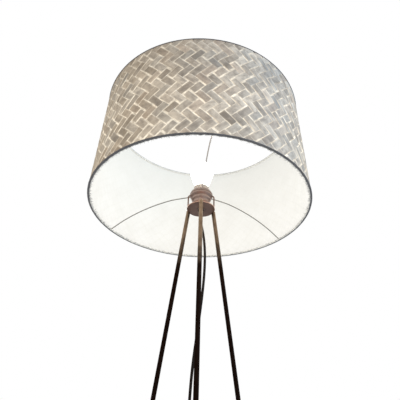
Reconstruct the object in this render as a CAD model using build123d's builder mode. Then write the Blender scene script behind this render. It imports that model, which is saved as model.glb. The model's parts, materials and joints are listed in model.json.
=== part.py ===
"""Tripod floor lamp with a plaited drum shade, in millimetres.

The origin is on the floor under the lamp's axis and +Z is up. Three straight legs meet at a small hub plate.
The hub carries an E27 lampholder, a wire carrier and the shade, and the mains cord hangs from its middle to
a foot switch, a coil and a plug on the floor.
"""

from build123d import *
from math import cos, pi, radians, sin, sqrt, tan
import os

# ---- Driving dimensions --------------------------------------------------------------------------
TOTAL_HEIGHT = 1600.0
SHADE_HEIGHT = 305.0
SHADE_BOTTOM_R = 275.0
SHADE_TOP_R = 264.5
HUB_Z = TOTAL_HEIGHT - SHADE_HEIGHT  # middle of the hub plate, level with the shade's lower edge

LEG_R = 5.0
LEG_WALL = 1.0
LEG_SLOPE = 0.15  # how far a leg's axis moves out for each millimetre down
LEG_HUB_REACH = 36.7  # a leg's axis from the lamp's axis, at the hub plate
LEG_BOTTOM_Z = 3.5
LEG_TOP_Z = HUB_Z + 2.3
LEGS = {"front": -90.0, "back_right": 30.0, "back_left": 150.0}  # azimuths, counterclockwise from +X

HUB_R = 35.0
HUB_THICKNESS = 3.0
HUB_TOP = HUB_Z + HUB_THICKNESS / 2
HUB_UNDERSIDE = HUB_Z - HUB_THICKNESS / 2

FOOT_R = 7.5
FOOT_HEIGHT = 26.0
FOOT_EDGE = 1.6

# The lampholder, with heights above the middle of the hub plate.
NIPPLE_R = 5.0
NIPPLE_BORE_R = 4.0
HOLDER_FLANGE_R = 28.5
HOLDER_FLANGE_TOP = 40.0
HOLDER_WALL_R = 18.4  # inside the base
SKIRT_R = 19.4
SKIRT_BORE_R = 17.6
SKIRT_FOOT = 34.0
SKIRT_RIM = 65.0
THREAD_PITCH = 2.5
THREAD_DEPTH = 0.5
SCREW_SHELL_R = 14.1
SCREW_SHELL_BORE_R = 13.6

CARRIER_WIRE_R = 1.75
CARRIER_REACH = 32.5  # the upright wires from the lamp's axis
RING_PLATE = 1.5  # sheet thickness of the carrier ring
CARRIER_RING_R = 28.8
FITTER_RING_R = 28.8
FITTER_BOTTOM = HOLDER_FLANGE_TOP + RING_PLATE + 0.1
FITTER_THICKNESS = 1.4
RING_NUT_R = 26.5
RING_NUT_BOTTOM = FITTER_BOTTOM + FITTER_THICKNESS + 0.1
RING_NUT_HEIGHT = 5.0
RING_NUT_RIBS = 36

# The bulb, an A60 with its crown 144 above the hub.
GLOBE_R = 30.0
GLOBE_CENTRE = 114.0
BULB_NECK_R = 14.8
BULB_NECK_TOP = 70.0
BULB_NECK_FOOT = 62.5
BULB_CAP_R = 13.2
BULB_TIP = 34.0
GLASS = 0.9

# The shade's wall, from outside in: plaited cover, lining and the wire rings in their bindings.
COVER_THICKNESS = 1.6
LINING_THICKNESS = 0.6
BINDING = 0.7
BINDING_HEIGHT = 6.0
SHADE_WIRE_R = 1.5
WIRE_CLEARANCE = 0.1  # round the wire rings, inside their bindings
ARM_R = 1.4
ARMS = {"front": -86.0, "right": 34.0, "left": 154.0}
ARM_PROFILE = [
    (27.0, 43.2),
    (46.0, 45.6),
    (86.0, 49.6),
    (138.0, 45.8),
    (188.0, 36.0),
    (232.0, 21.5),
    (270.4, 2.5),
]

# The mains cord, its foot switch and its plug.
CORD_R = 3.0
ARC_SHARE = 0.45  # of the shorter run at a corner
GRIP_BOTTOM = -22.0  # lower end of the cord grip, from the middle of the hub plate
SWITCH_X, SWITCH_Y = -140.0, -6.0
SWITCH_LENGTH = 76.0
SWITCH_WIDTH = 40.0
SWITCH_BASE_HEIGHT = 8.0
SWITCH_HEIGHT = 20.0
SWITCH_WALL = 2.0
SWITCH_CORD_Z = 8.0
BUTTON_R = 12.6
BUTTON_HOLE_R = 13.0
BUTTON_TOP = 24.5
RELIEF_LENGTH = 20.0
COIL_X, COIL_Y = -60.0, -82.0
COIL_INNER_R = 24.0
COIL_OUTER_R = 42.0
COIL_HEIGHT = 11.4
COIL_LANE_BOTTOM_R = 39.0  # middle of the outermost turn, on the floor
COIL_LANE_TOP_R = 36.0  # middle of the turn that the cord leaves from
COIL_LANE_TOP_Z = 8.2
PLUG_X, PLUG_Y = 52.0, -112.0  # back end of the plug's body
PLUG_LENGTH = 36.0
PLUG_WIDTH = 35.0
PLUG_HEIGHT = 14.0
PIN_R = 2.0
PIN_LENGTH = 19.0
PIN_SPACING = 19.0

# Routes of the cord. A coil's turns are one closed solid, so the routes stop inside it.
SWITCH_IN_X = SWITCH_X + SWITCH_LENGTH / 2 + RELIEF_LENGTH
SWITCH_OUT_X = SWITCH_X - SWITCH_LENGTH / 2 - RELIEF_LENGTH
DROP_ROUTE = [
    (0, 0, HUB_Z + GRIP_BOTTOM),
    (0, 0, HUB_Z - 34),
    (4.0, 0, HUB_Z - 54),
    (9.5, 0, HUB_Z - 84),
    (12.5, 0.5, HUB_Z - 124),
    (12.0, 1, HUB_Z - 172),
    (8.5, 1.5, HUB_Z - 222),
    (3.5, 1.5, HUB_Z - 270),
    (-2.0, 1, HUB_Z - 320),
    (-7.5, 0, HUB_Z - 368),
    (-11.5, -1, HUB_Z - 420),
    (-13.5, -2, HUB_Z - 486),
    (-12.5, -2.5, HUB_Z - 560),
    (-9.0, -3, HUB_Z - 638),
    (-4.0, -3, HUB_Z - 718),
    (1.5, -3.5, HUB_Z - 798),
    (6.0, -4, HUB_Z - 876),
    (8.5, -5, HUB_Z - 950),
    (9.5, -6, HUB_Z - 1022),
    (9.5, -7, HUB_Z - 1092),
    (9.0, -8, HUB_Z - 1154),
    (8.0, -9, HUB_Z - 1204),
    (4.5, -9.5, 54),
    (-3.5, -10, 29),
    (-19.5, -9.5, 11),
    (-41.5, -8, 3.6),
    (-64.0, -6.5, 4.6),
    (SWITCH_IN_X, SWITCH_Y, SWITCH_CORD_Z),
]
LEAD_ROUTE = [
    (SWITCH_OUT_X, SWITCH_Y, SWITCH_CORD_Z),
    (-216, -7.5, 4.6),
    (-237, -18, 3.2),
    (-249, -40, 3),
    (-249, -67, 3),
    (-236, -92, 3),
    (-212, -109, 3),
    (-180, -118, 3),
    (-144, -122, 3),
    (-108, -123, 3),
    (COIL_X - 14, COIL_Y - COIL_LANE_BOTTOM_R, 3),
]
TAIL_ROUTE = [
    (COIL_X + 8, COIL_Y - COIL_LANE_TOP_R, COIL_LANE_TOP_Z),
    (-30, -117.5, COIL_LANE_TOP_Z + 0.6),
    (-7, -116.5, 5.5),
    (13, -114, 4.4),
    (PLUG_X - RELIEF_LENGTH, PLUG_Y, PLUG_HEIGHT / 2),
]


# ---- Helpers -------------------------------------------------------------------------------------
def save(builder, name):
    """Label a finished piece and write it as its own file."""
    builder.part.label = name
    export_step(builder.part, f"parts/{name}.step")


def above_hub(height):
    """The level plane at a height above the middle of the hub plate."""
    return Plane.XY.offset(HUB_Z + height)


def leg_plane(azimuth, height):
    """The plane square to a leg's axis, where that axis passes a height above the floor."""
    outward = Vector(cos(radians(azimuth)), sin(radians(azimuth)), 0)
    reach = LEG_HUB_REACH + LEG_SLOPE * (HUB_Z - height)
    return Plane(origin=outward * reach + Vector(0, 0, height), z_dir=Vector(0, 0, 1) - outward * LEG_SLOPE)


def along_leg(rise):
    """The length along a leg that climbs by rise."""
    return rise * sqrt(1 + LEG_SLOPE**2)


def wall_r(height, inset=0.0):
    """The radius of the cover's outer face at a height above the shade's lower edge, less an inset."""
    return SHADE_BOTTOM_R - BINDING + (SHADE_TOP_R - SHADE_BOTTOM_R) * height / SHADE_HEIGHT - inset


def arc_radii(route):
    """For each corner of a route, the radius of the largest arc that its two runs leave room for."""
    radii = []
    for before, corner, after in zip(route, route[1:], route[2:]):
        run_in = Vector(*corner) - Vector(*before)
        run_out = Vector(*after) - Vector(*corner)
        shorter = min(run_in.length, run_out.length)
        radii.append(ARC_SHARE * shorter / tan(radians(run_in.get_angle(run_out)) / 2))
    return radii


def wire(route, radius):
    """A round wire or cord of one radius along straight runs that tangent arcs join."""
    with BuildPart() as piece:
        with BuildLine() as path:
            FilletPolyline(*route, radius=arc_radii(route))
        with BuildSketch(Plane(origin=path.wire() @ 0, z_dir=path.wire() % 0)):
            Circle(radius)
        sweep(path=path.wire())
    return piece, path.wire().length


def cord(name, route):
    """Write one stretch of the free cord, and print how it bends and whether its volume is right."""
    piece, length = wire(route, CORD_R)
    save(piece, name)
    ideal = pi * CORD_R**2 * length
    print(f"{name}: length {length:.1f}, volume {piece.part.volume / ideal:.4f} of section times length")
    print(f"{name}: radii", " ".join(f"{radius:.0f}" for radius in arc_radii(route)))
    return length


def turned(outline):
    """A solid turned about the lamp's axis from (radius, height above the hub) points."""
    with BuildPart() as piece:
        with BuildSketch(Plane.XZ):
            with BuildLine():
                Polyline(*[(radius, HUB_Z + height) for radius, height in outline], close=True)
            make_face()
        revolve(axis=Axis.Z)
    return piece


def washer(outer, inner, bottom, thickness):
    """A flat ring about the lamp's axis, from a height above the hub."""
    with BuildPart() as piece:
        with BuildSketch(above_hub(bottom)):
            Circle(outer)
            Circle(inner, mode=Mode.SUBTRACT)
        extrude(amount=thickness)
    return piece


def hex_nut(across_flats, bore, bottom, thickness):
    """A hexagonal nut about the lamp's axis, from a height above the hub."""
    with BuildPart() as piece:
        with BuildSketch(above_hub(bottom)):
            RegularPolygon(across_flats / 2, 6, major_radius=False)
            Circle(bore, mode=Mode.SUBTRACT)
        extrude(amount=thickness)
    return piece


os.makedirs("parts", exist_ok=True)

# ---- Stand: hub plate, legs and feet -------------------------------------------------------------
HUB_EDGE = 0.6
with BuildPart() as hub_plate:
    with BuildSketch(Plane.XY.offset(HUB_UNDERSIDE)):
        Circle(HUB_R)
        Circle(NIPPLE_R, mode=Mode.SUBTRACT)
    extrude(amount=HUB_THICKNESS)
    rims = hub_plate.edges().filter_by(GeomType.CIRCLE).filter_by(lambda edge: edge.radius > NIPPLE_R)
    fillet(rims, HUB_EDGE)
    for azimuth in LEGS.values():
        with BuildSketch(leg_plane(azimuth, HUB_Z)):
            Circle(LEG_R)
        extrude(amount=4 * HUB_THICKNESS, both=True, mode=Mode.SUBTRACT)
save(hub_plate, "hub_plate")

for side, azimuth in LEGS.items():
    with BuildPart() as leg:
        with BuildSketch(leg_plane(azimuth, LEG_BOTTOM_Z)):
            Circle(LEG_R)
            Circle(LEG_R - LEG_WALL, mode=Mode.SUBTRACT)
        extrude(amount=along_leg(LEG_TOP_Z - LEG_BOTTOM_Z))
    save(leg, f"leg_{side}")

    # A rubber cap over the tube's end, cut level so that it stands flat on the floor.
    with BuildPart() as foot:
        with BuildSketch(leg_plane(azimuth, -FOOT_R)):
            Circle(FOOT_R)
        extrude(amount=along_leg(FOOT_HEIGHT + FOOT_R))
        fillet(foot.edges().sort_by(Axis.Z)[-1], FOOT_EDGE)
        with BuildSketch(leg_plane(azimuth, LEG_BOTTOM_Z)):
            Circle(LEG_R)
        extrude(amount=2 * FOOT_HEIGHT, mode=Mode.SUBTRACT)
        split(bisect_by=Plane.XY, keep=Keep.TOP)
    save(foot, f"foot_{side}")

LEG_PLUG_DEPTH = 8.0
LEG_PLUG_HEAD = 0.8
LEG_PLUG_TAPER = 25.0
with BuildPart() as leg_plugs:
    for azimuth in LEGS.values():
        with BuildSketch(leg_plane(azimuth, LEG_TOP_Z)):
            Circle(LEG_R)
        extrude(amount=LEG_PLUG_HEAD, taper=LEG_PLUG_TAPER)
        with BuildSketch(leg_plane(azimuth, LEG_TOP_Z)):
            Circle(LEG_R - LEG_WALL)
        extrude(amount=-LEG_PLUG_DEPTH)
save(leg_plugs, "leg_plugs")

# ---- Wire carrier that props the holder's flange and the shade -----------------------------------
CARRIER_TOP = HOLDER_FLANGE_TOP + RING_PLATE / 2
CARRIER_BEND = 4.3  # from the end of an upright wire's straight run to the middle of the ring's plate
WELD = 0.6  # how far a wire's end reaches into the ring
for side, direction in {"left": -1, "right": 1}.items():
    carrier_wire, _ = wire(
        [
            (direction * CARRIER_REACH, 0, HUB_TOP),
            (direction * CARRIER_REACH, 0, HUB_Z + CARRIER_TOP - CARRIER_BEND),
            (direction * (CARRIER_RING_R - WELD), 0, HUB_Z + CARRIER_TOP),
        ],
        CARRIER_WIRE_R,
    )
    save(carrier_wire, f"carrier_wire_{side}")

save(washer(CARRIER_RING_R, SKIRT_R, HOLDER_FLANGE_TOP, RING_PLATE), "carrier_ring")

# ---- Lampholder ----------------------------------------------------------------------------------
PLATE = HUB_THICKNESS / 2  # the hub plate's top and underside, from its middle
BASE_FLOOR = PLATE + 2.0

holder_base = turned(
    [
        (NIPPLE_R, PLATE),
        (20.2, PLATE),
        (20.2, 12.5),
        (21.6, 14.0),
        (21.6, 19.0),
        (20.6, 20.0),
        (20.6, 21.5),
        (24.2, 25.5),
        (24.2, 30.0),
        (23.2, 31.0),
        (23.2, 32.5),
        (HOLDER_FLANGE_R, 36.0),
        (HOLDER_FLANGE_R, HOLDER_FLANGE_TOP),
        (SKIRT_R, HOLDER_FLANGE_TOP),
        (SKIRT_R, SKIRT_FOOT),
        (HOLDER_WALL_R, SKIRT_FOOT),
        (HOLDER_WALL_R, BASE_FLOOR),
        (NIPPLE_R, BASE_FLOOR),
    ]
)
save(holder_base, "holder_base")

LIP = 1.5
LIP_R = 16.2
holder_skirt = turned(
    [
        (SKIRT_BORE_R, SKIRT_FOOT),
        (SKIRT_R, SKIRT_FOOT),
        (SKIRT_R, SKIRT_RIM - 0.6),
        (SKIRT_R - 0.6, SKIRT_RIM),
        (LIP_R, SKIRT_RIM),
        (LIP_R, SKIRT_RIM - LIP),
        (SKIRT_BORE_R, SKIRT_RIM - LIP),
    ]
)
THREADS = 6
THREAD_START = RING_NUT_BOTTOM + RING_NUT_HEIGHT + 0.8  # middle of the lowest groove
GROOVE_MOUTH = 1.4  # half of a groove's width, measured 1 outside the skirt
GROOVE_ROOT = 0.2
with BuildPart() as threaded_skirt:
    add(holder_skirt.part)
    with BuildSketch(Plane.XZ):
        for turn in range(THREADS):
            groove = HUB_Z + THREAD_START + turn * THREAD_PITCH
            with BuildLine():
                Polyline(
                    (SKIRT_R + 1, groove - GROOVE_MOUTH),
                    (SKIRT_R + 1, groove + GROOVE_MOUTH),
                    (SKIRT_R - THREAD_DEPTH, groove + GROOVE_ROOT),
                    (SKIRT_R - THREAD_DEPTH, groove - GROOVE_ROOT),
                    close=True,
                )
            make_face()
    revolve(axis=Axis.Z, mode=Mode.SUBTRACT)
save(threaded_skirt, "holder_skirt")

CORE_FOOT = 22.0
CORE_FLANGE_BOTTOM = 29.0
CORE_R = 16.4
CORE_RIM = 60.0
CORE_FLOOR = 32.0
TERMINAL_REACH = 9.0
TERMINAL_R = 1.5
TERMINAL_DEPTH = 6.0
core_body = turned(
    [
        (0, CORE_FOOT),
        (CORE_R, CORE_FOOT),
        (CORE_R, CORE_FLANGE_BOTTOM),
        (HOLDER_WALL_R, CORE_FLANGE_BOTTOM),
        (HOLDER_WALL_R, SKIRT_FOOT),
        (CORE_R, SKIRT_FOOT),
        (CORE_R, CORE_RIM),
        (SCREW_SHELL_R, CORE_RIM),
        (SCREW_SHELL_R, CORE_FLOOR),
        (0, CORE_FLOOR),
    ]
)
with BuildPart() as holder_core:
    add(core_body.part)
    with BuildSketch(above_hub(CORE_FOOT)):
        with Locations((TERMINAL_REACH, 0), (-TERMINAL_REACH, 0)):
            Circle(TERMINAL_R)
    extrude(amount=TERMINAL_DEPTH, mode=Mode.SUBTRACT)
save(holder_core, "holder_core")

SCREW_HEAD_R = 2.6
SCREW_HEAD = 1.8
with BuildPart() as terminal_screws:
    with BuildSketch(above_hub(CORE_FOOT)):
        with Locations((TERMINAL_REACH, 0), (-TERMINAL_REACH, 0)):
            Circle(TERMINAL_R)
    extrude(amount=TERMINAL_DEPTH)
    with BuildSketch(above_hub(CORE_FOOT)):
        with Locations((TERMINAL_REACH, 0), (-TERMINAL_REACH, 0)):
            Circle(SCREW_HEAD_R)
    extrude(amount=-SCREW_HEAD)
save(terminal_screws, "terminal_screws")

SIDE_CONTACT_HEIGHT = 4.5
SCREW_SHELL_HEIGHT = 22.0
screw_shell_foot = CORE_FLOOR + SIDE_CONTACT_HEIGHT
save(washer(SCREW_SHELL_R, SCREW_SHELL_BORE_R, screw_shell_foot, SCREW_SHELL_HEIGHT), "screw_shell")

# The centre contact is a bent brass tongue on the core's floor, just under the bulb's tip.
TONGUE_WIDTH = 6.0
TONGUE = 0.4
TONGUE_RISE = 1.4
with BuildPart() as centre_contact:
    with BuildSketch(Plane.YZ.offset(-TONGUE_WIDTH / 2)):
        floor = HUB_Z + CORE_FLOOR
        with BuildLine():
            Polyline(
                (-9.0, floor),
                (-3.2, floor),
                (-0.2, floor + TONGUE_RISE),
                (3.0, floor + TONGUE_RISE),
                (3.0, floor + TONGUE_RISE + TONGUE),
                (-0.4, floor + TONGUE_RISE + TONGUE),
                (-3.4, floor + TONGUE),
                (-9.0, floor + TONGUE),
                close=True,
            )
        make_face()
    extrude(amount=TONGUE_WIDTH)
save(centre_contact, "centre_contact")

with BuildPart() as side_contact:
    with BuildSketch(above_hub(CORE_FLOOR)):
        with Locations((SCREW_SHELL_BORE_R - 0.3, 0)):
            Rectangle(1.0, 5.0)
    extrude(amount=SIDE_CONTACT_HEIGHT)
save(side_contact, "side_contact")

NIPPLE_BOTTOM = -9.0
NIPPLE_LENGTH = 18.0
NUT_FLATS = 14.0
NUT_THICKNESS = 3.0
NIPPLE_WASHER_R = 8.5
NIPPLE_WASHER = 1.0
NUT_BOTTOM = -PLATE - NIPPLE_WASHER - NUT_THICKNESS
save(washer(NIPPLE_R, NIPPLE_BORE_R, NIPPLE_BOTTOM, NIPPLE_LENGTH), "threaded_nipple")
save(hex_nut(NUT_FLATS, NIPPLE_R, BASE_FLOOR, NUT_THICKNESS), "nipple_top_nut")
save(washer(NIPPLE_WASHER_R, NIPPLE_R, -PLATE - NIPPLE_WASHER, NIPPLE_WASHER), "nipple_washer")
save(hex_nut(NUT_FLATS, NIPPLE_R, NUT_BOTTOM, NUT_THICKNESS), "nipple_bottom_nut")

# A plastic gland under the nut, which tapers down to the cord.
GRIP_R = 6.6
GRIP_SHOULDER = -11.0
GRIP_TIP_R = 4.3
cord_grip = turned(
    [
        (NIPPLE_R, NUT_BOTTOM),
        (GRIP_R, NUT_BOTTOM),
        (GRIP_R, GRIP_SHOULDER),
        (GRIP_TIP_R, GRIP_BOTTOM),
        (CORD_R, GRIP_BOTTOM),
        (CORD_R, NIPPLE_BOTTOM),
        (NIPPLE_R, NIPPLE_BOTTOM),
    ]
)
save(cord_grip, "cord_grip")

# The end of the sheathed cord inside the nipple, and its two cores up to the terminals.
CORD_END = 9.0
LEAD_R = 1.1
with BuildPart() as cord_inside:
    with BuildSketch(above_hub(GRIP_BOTTOM)):
        Circle(CORD_R)
    extrude(amount=CORD_END - GRIP_BOTTOM)
save(cord_inside, "cord_inside")

for name, direction in {"live_lead": 1, "neutral_lead": -1}.items():
    lead, _ = wire(
        [
            (direction * 1.4, 0, HUB_Z + CORD_END),
            (direction * 2.6, 0, HUB_Z + CORD_END + 4),
            (direction * 7.4, 0, HUB_Z + CORD_END + 7.2),
            (direction * TERMINAL_REACH, 0, HUB_Z + CORE_FOOT - SCREW_HEAD),
        ],
        LEAD_R,
    )
    save(lead, name)

# ---- Shade's retaining ring, a ribbed nut on the skirt -------------------------------------------
THREAD_CLEARANCE = 0.4
RIB_R = 0.9
RIB_OFFSET = 0.4  # middles of the gaps between the ribs, outside the nut's rim
with BuildPart() as shade_ring:
    with BuildSketch(above_hub(RING_NUT_BOTTOM)):
        Circle(RING_NUT_R)
        Circle(SKIRT_R + THREAD_CLEARANCE, mode=Mode.SUBTRACT)
        with PolarLocations(RING_NUT_R + RIB_OFFSET, RING_NUT_RIBS):
            Circle(RIB_R, mode=Mode.SUBTRACT)
    extrude(amount=RING_NUT_HEIGHT)
save(shade_ring, "shade_ring")

# ---- Shade frame: fitter ring, three spider arms and two wire rings ------------------------------
save(washer(FITTER_RING_R, SKIRT_R + THREAD_CLEARANCE, FITTER_BOTTOM, FITTER_THICKNESS), "fitter_ring")

for side, azimuth in ARMS.items():
    route = [
        (reach * cos(radians(azimuth)), reach * sin(radians(azimuth)), HUB_Z + height)
        for reach, height in ARM_PROFILE
    ]
    arm, _ = wire(route, ARM_R)
    save(arm, f"spider_arm_{side}")


def shade_ring_wire(height):
    """A wire ring just inside the shade's lining, with its middle at a height above the lower edge."""
    inset = COVER_THICKNESS + LINING_THICKNESS + WIRE_CLEARANCE + SHADE_WIRE_R
    with BuildPart() as ring:
        with BuildSketch(Plane.XZ):
            with Locations((wall_r(height, inset), HUB_Z + height)):
                Circle(SHADE_WIRE_R)
        revolve(axis=Axis.Z)
    return ring


WIRE_HEIGHT = BINDING + 2 * WIRE_CLEARANCE + SHADE_WIRE_R
save(shade_ring_wire(WIRE_HEIGHT), "bottom_wire_ring")
save(shade_ring_wire(SHADE_HEIGHT - WIRE_HEIGHT), "top_wire_ring")


# ---- Shade walls ---------------------------------------------------------------------------------
def wall(outer_inset, inner_inset):
    """A sloping wall between two depths under the cover's outer face, from one binding to the other."""
    bottom, top = BINDING, SHADE_HEIGHT - BINDING
    return turned(
        [
            (wall_r(bottom, outer_inset), bottom),
            (wall_r(top, outer_inset), top),
            (wall_r(top, inner_inset), top),
            (wall_r(bottom, inner_inset), bottom),
        ]
    )


save(wall(0, COVER_THICKNESS), "shade_cover")
save(wall(COVER_THICKNESS, COVER_THICKNESS + LINING_THICKNESS), "shade_lining")


def binding(edge, direction):
    """The tape folded round one edge of the shade and its wire ring. direction points into the wall."""
    fold = COVER_THICKNESS + LINING_THICKNESS + 2 * (SHADE_WIRE_R + WIRE_CLEARANCE)
    reach = edge + direction * BINDING_HEIGHT
    inside = edge + direction * BINDING
    return turned(
        [
            (wall_r(edge, -BINDING), edge),
            (wall_r(reach, -BINDING), reach),
            (wall_r(reach), reach),
            (wall_r(inside), inside),
            (wall_r(inside, fold), inside),
            (wall_r(reach, fold), reach),
            (wall_r(reach, fold + BINDING), reach),
            (wall_r(edge, fold + BINDING), edge),
        ]
    )


save(binding(0, 1), "bottom_binding")
save(binding(SHADE_HEIGHT, -1), "top_binding")


# ---- Bulb ----------------------------------------------------------------------------------------
def half_bulb(inset):
    """Half of the bulb's section, moved in by inset: straight neck, hollow shoulder and round globe."""
    rise = GLOBE_CENTRE - BULB_NECK_TOP
    # The shoulder's arc is tangent to the neck and to the globe, which fixes its radius.
    shoulder = (rise**2 - GLOBE_R**2 + BULB_NECK_R**2) / (2 * (GLOBE_R - BULB_NECK_R))
    share = (GLOBE_R - inset) / (GLOBE_R + shoulder)
    meeting = ((BULB_NECK_R + shoulder) * share, HUB_Z + GLOBE_CENTRE - rise * share)
    neck_foot = (BULB_NECK_R - inset, HUB_Z + BULB_NECK_FOOT)
    neck_top = (BULB_NECK_R - inset, HUB_Z + BULB_NECK_TOP)
    crown = (0, HUB_Z + GLOBE_CENTRE + GLOBE_R - inset)
    with BuildSketch(Plane.XZ) as section:
        with BuildLine():
            Line(neck_foot, neck_top)
            RadiusArc(neck_top, meeting, -(shoulder + inset))
            ThreePointArc(meeting, (GLOBE_R - inset, HUB_Z + GLOBE_CENTRE), crown)
            Line(crown, (0, HUB_Z + BULB_NECK_FOOT))
            Line((0, HUB_Z + BULB_NECK_FOOT), neck_foot)
        make_face()
    return section.sketch


with BuildPart() as bulb_globe:
    add(half_bulb(0))
    revolve(axis=Axis.Z)
    add(half_bulb(GLASS))
    revolve(axis=Axis.Z, mode=Mode.SUBTRACT)
save(bulb_globe, "bulb_globe")

CAP_WALL = 0.5
CAP_FOOT = 37.0
CAP_COLLAR = 2.0  # height of the cap's widened rim
bulb_cap = turned(
    [
        (BULB_CAP_R - CAP_WALL, CAP_FOOT),
        (BULB_CAP_R, CAP_FOOT),
        (BULB_CAP_R, BULB_NECK_FOOT - CAP_COLLAR),
        (BULB_NECK_R, BULB_NECK_FOOT - CAP_COLLAR / 2),
        (BULB_NECK_R, BULB_NECK_FOOT),
        (BULB_NECK_R - CAP_WALL, BULB_NECK_FOOT),
        (BULB_CAP_R - CAP_WALL, BULB_NECK_FOOT - CAP_COLLAR),
    ]
)
save(bulb_cap, "bulb_cap")

TIP_R = 4.6
TIP_FACE_R = 3.0
TIP_TOP = BULB_TIP + 1.0
save(turned([(0, TIP_TOP), (TIP_R, TIP_TOP), (BULB_CAP_R, CAP_FOOT), (0, CAP_FOOT)]), "bulb_insulator")
save(turned([(0, BULB_TIP), (TIP_FACE_R, BULB_TIP), (TIP_R, TIP_TOP), (0, TIP_TOP)]), "bulb_tip")

STEM_TOP = 92.0
bulb_stem = turned(
    [(0, CAP_FOOT), (11.0, CAP_FOOT), (11.0, 58.0), (6.0, 68.0), (2.6, 74.0), (2.6, STEM_TOP), (0, STEM_TOP)]
)
save(bulb_stem, "bulb_stem")

FILAMENTS = 6
FILAMENT_R = 0.9
FILAMENT_LENGTH = 34.0
FILAMENT_CIRCLE = 9.0
HUB_RIM = 1.4  # half of the width of the filament hub's rim
SPOKES = 3
SPOKE_WIDTH = 1.6
SPOKE_PLATE = 2.0
with BuildPart() as bulb_filaments:
    with BuildSketch(above_hub(STEM_TOP + SPOKE_PLATE)):
        with PolarLocations(FILAMENT_CIRCLE, FILAMENTS):
            Circle(FILAMENT_R)
    extrude(amount=FILAMENT_LENGTH)
save(bulb_filaments, "bulb_filaments")

with BuildPart() as filament_hub:
    with BuildSketch(above_hub(STEM_TOP)):
        Circle(FILAMENT_CIRCLE + HUB_RIM)
        Circle(FILAMENT_CIRCLE - HUB_RIM, mode=Mode.SUBTRACT)
        with PolarLocations(0, SPOKES):
            Rectangle(2 * FILAMENT_CIRCLE, SPOKE_WIDTH)
    extrude(amount=SPOKE_PLATE)
save(filament_hub, "filament_hub")


# ---- Foot switch ---------------------------------------------------------------------------------
def switch_plate(inset, corner):
    """The switch's outline, moved in by inset."""
    with BuildSketch(mode=Mode.PRIVATE) as outline:
        with Locations((SWITCH_X, SWITCH_Y)):
            RectangleRounded(SWITCH_LENGTH - 2 * inset, SWITCH_WIDTH - 2 * inset, corner - inset)
    return outline.sketch


SWITCH_CORNER = 17.0
BASE_EDGE = 1.5
COVER_EDGE = 4.5
COVER_WALL = 4.5
POST_R = 5.0  # middle post that the spring stands on
SCREW_POST_R = 3.2
SCREW_SUNK = 0.5
CORD_HOLE_AXIS = Plane(origin=(SWITCH_X, SWITCH_Y, SWITCH_CORD_Z), z_dir=(1, 0, 0))
RELIEF_SPIGOT_R = 4.6
RELIEF_TIP_R = 4.0
SCREW_REACH_X, SCREW_REACH_Y = 27.0, 12.0
SWITCH_SCREW_R = 1.4

with BuildPart() as switch_base:
    add(switch_plate(0, SWITCH_CORNER))
    extrude(amount=SWITCH_BASE_HEIGHT)
    fillet(switch_base.edges().group_by(Axis.Z)[0], BASE_EDGE)
    with BuildSketch(Plane.XY.offset(SWITCH_WALL)):
        add(switch_plate(SWITCH_WALL, SWITCH_CORNER))
    extrude(amount=SWITCH_BASE_HEIGHT, mode=Mode.SUBTRACT)
    with BuildSketch(Plane.XY.offset(SWITCH_WALL)):
        with Locations((SWITCH_X, SWITCH_Y)):
            Circle(POST_R)
            with GridLocations(2 * SCREW_REACH_X, 2 * SCREW_REACH_Y, 2, 2):
                Circle(SCREW_POST_R)
    extrude(amount=SWITCH_BASE_HEIGHT - SWITCH_WALL)
    with BuildSketch(Plane.XY):
        with Locations((SWITCH_X, SWITCH_Y)):
            with GridLocations(2 * SCREW_REACH_X, 2 * SCREW_REACH_Y, 2, 2):
                Circle(SWITCH_SCREW_R)
    extrude(amount=SWITCH_BASE_HEIGHT, mode=Mode.SUBTRACT)
    with BuildSketch(CORD_HOLE_AXIS):
        Circle(RELIEF_SPIGOT_R)
    extrude(amount=SWITCH_LENGTH, both=True, mode=Mode.SUBTRACT)
save(switch_base, "switch_base")

with BuildPart() as switch_cover:
    with BuildSketch(Plane.XY.offset(SWITCH_BASE_HEIGHT)):
        add(switch_plate(0, SWITCH_CORNER))
    extrude(amount=SWITCH_HEIGHT - SWITCH_BASE_HEIGHT)
    fillet(switch_cover.edges().group_by(Axis.Z)[-1], COVER_EDGE)
    with BuildSketch(Plane.XY.offset(SWITCH_BASE_HEIGHT)):
        add(switch_plate(COVER_WALL, SWITCH_CORNER))
    extrude(amount=SWITCH_HEIGHT - SWITCH_BASE_HEIGHT - SWITCH_WALL, mode=Mode.SUBTRACT)
    with BuildSketch(Plane.XY.offset(SWITCH_BASE_HEIGHT)):
        with Locations((SWITCH_X, SWITCH_Y)):
            Circle(BUTTON_HOLE_R)
    extrude(amount=SWITCH_HEIGHT, mode=Mode.SUBTRACT)
    with BuildSketch(CORD_HOLE_AXIS):
        Circle(RELIEF_SPIGOT_R)
    extrude(amount=SWITCH_LENGTH, both=True, mode=Mode.SUBTRACT)
save(switch_cover, "switch_cover")

with BuildPart() as switch_screws:
    with BuildSketch(Plane.XY.offset(SCREW_SUNK)):
        with Locations((SWITCH_X, SWITCH_Y)):
            with GridLocations(2 * SCREW_REACH_X, 2 * SCREW_REACH_Y, 2, 2):
                Circle(SWITCH_SCREW_R)
    extrude(amount=SWITCH_BASE_HEIGHT - SCREW_SUNK)
save(switch_screws, "switch_screws")

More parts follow.
